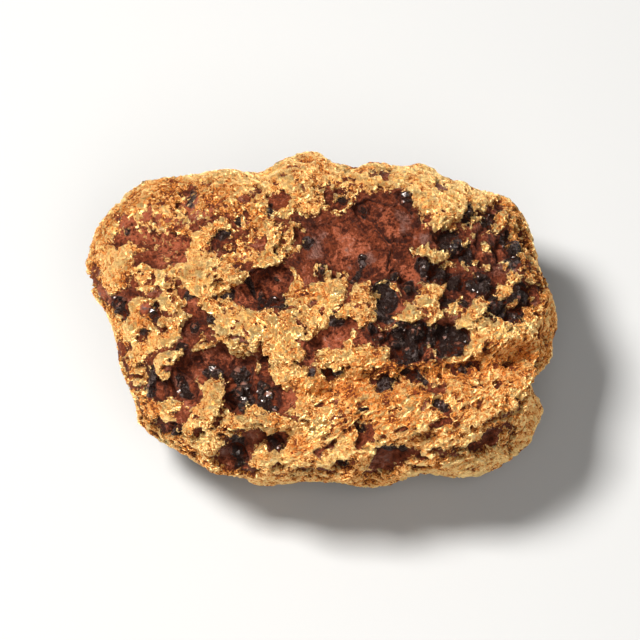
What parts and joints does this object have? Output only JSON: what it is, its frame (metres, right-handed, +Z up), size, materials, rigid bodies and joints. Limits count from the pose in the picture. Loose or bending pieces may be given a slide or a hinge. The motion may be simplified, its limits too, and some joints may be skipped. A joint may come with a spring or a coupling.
{
  "type": "gold nugget",
  "caption": "Natural gold nugget in its ironstone, a rough lump of bright gold, red-brown stone and black iron oxide that lies on its worn underside.",
  "frame": {"origin": "on the surface that the nugget lies on, under the middle of its box", "axes": "+X along the longest extent, towards the end with the lower lobe; +Z up; the broad face looks up and towards -Y"},
  "size_m": [0.04, 0.0315, 0.0182],
  "materials": {
    "gold": "satin, crumbly native gold, stained red-brown in its pits",
    "ironstone": "dull earthy red-brown",
    "iron_oxide": "black, glassy to metallic on its crystal faces"
  },
  "bodies": {
    "root": {"nugget": "gold"}
  },
  "joints": []
}
